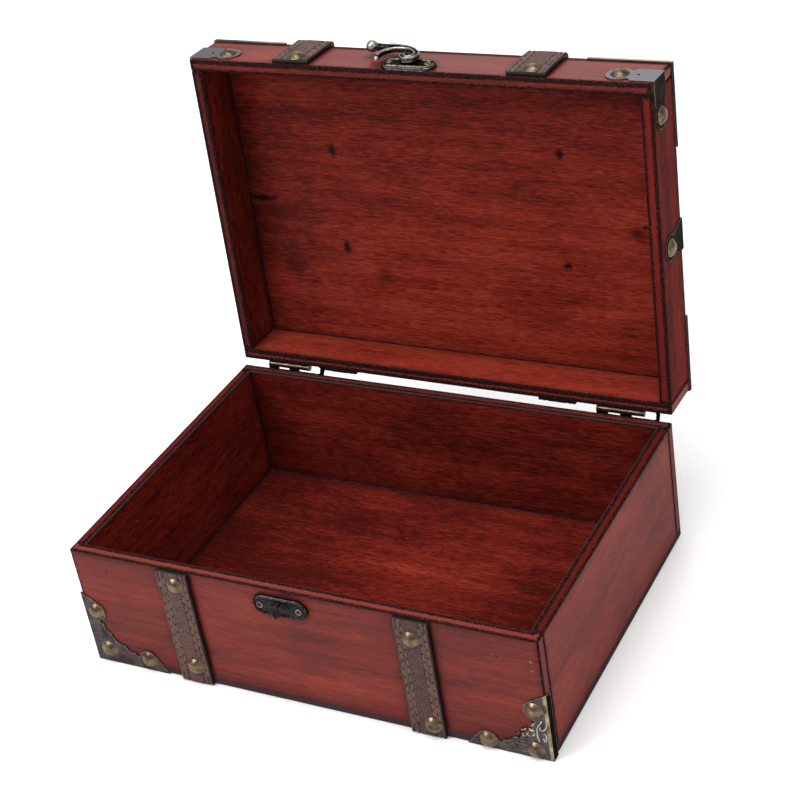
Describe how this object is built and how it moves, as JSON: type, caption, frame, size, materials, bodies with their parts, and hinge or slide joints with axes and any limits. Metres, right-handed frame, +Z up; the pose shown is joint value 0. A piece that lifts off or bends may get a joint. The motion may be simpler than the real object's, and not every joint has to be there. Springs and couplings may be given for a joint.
{
  "type": "wooden storage box",
  "caption": "Rectangular wooden storage box with a hinged lid on stop hinges, nailed leather straps, scalloped metal corner plates and a swing hook that latches the lid.",
  "frame": {"origin": "centre of the base's underside", "axes": "+X to the right as seen from the latch side, +Y from the latch side to the hinges, +Z up"},
  "size_m": [0.338, 0.2943, 0.3378],
  "materials": {
    "stained_wood": "satin stain, darkened edges",
    "brown_leather": "matt, stitched",
    "antique_brass": "antiqued",
    "stamped_bronze": "dark, rubbed at the edges",
    "bronzed_steel": "bronzed"
  },
  "bodies": {
    "base": {"base_back_board": "stained_wood", "base_back_strap_left": "brown_leather", "base_back_strap_right": "brown_leather", "base_bottom_panel": "stained_wood", "base_brads": "bronzed_steel", "base_corner_nails": "antique_brass", "base_corner_plate_left": "stamped_bronze", "base_corner_plate_right": "stamped_bronze", "base_front_board": "stained_wood", "base_front_strap_left": "brown_leather", "base_front_strap_right": "brown_leather", "base_left_side": "stained_wood", "base_right_side": "stained_wood", "base_strap_nails": "antique_brass", "hinge_base_screws": "bronzed_steel", "hinge_left_base_leaf": "stamped_bronze", "hinge_left_pin": "bronzed_steel", "hinge_right_base_leaf": "stamped_bronze", "hinge_right_pin": "bronzed_steel", "latch_catch": "stamped_bronze", "latch_catch_screws": "bronzed_steel"},
    "lid": {"hinge_left_lid_leaf": "stamped_bronze", "hinge_lid_screws": "bronzed_steel", "hinge_right_lid_leaf": "stamped_bronze", "latch_plate": "stamped_bronze", "latch_plate_screws": "bronzed_steel", "latch_rivet": "stamped_bronze", "lid_back_board": "stained_wood", "lid_clip_nails": "antique_brass", "lid_corner_nails": "antique_brass", "lid_corner_plate_back_left": "stamped_bronze", "lid_corner_plate_back_right": "stamped_bronze", "lid_corner_plate_front_left": "stamped_bronze", "lid_corner_plate_front_right": "stamped_bronze", "lid_corner_wrap_left": "stamped_bronze", "lid_corner_wrap_right": "stamped_bronze", "lid_front_board": "stained_wood", "lid_left_side": "stained_wood", "lid_right_side": "stained_wood", "lid_side_clip_left": "stamped_bronze", "lid_side_clip_right": "stamped_bronze", "lid_strap_left": "brown_leather", "lid_strap_nails": "antique_brass", "lid_strap_right": "brown_leather", "lid_top_panel": "stained_wood", "lid_wrap_nails": "antique_brass"},
    "hook": {"latch_hook": "stamped_bronze"}
  },
  "joints": [
    {"name": "lid_hinge", "type": "hinge", "parent": "base", "child": "lid", "pos_m": [0, 0.11815, 0.09425], "axis": [-1, 0, 0], "range_deg": [-92.7, 0]},
    {"name": "hook_pivot", "type": "hinge", "parent": "lid", "child": "hook", "pos_m": [-0.0017, 0.13688, 0.33328], "axis": [0, 0.0471, 0.9989], "range_deg": [-25, 80]}
  ]
}
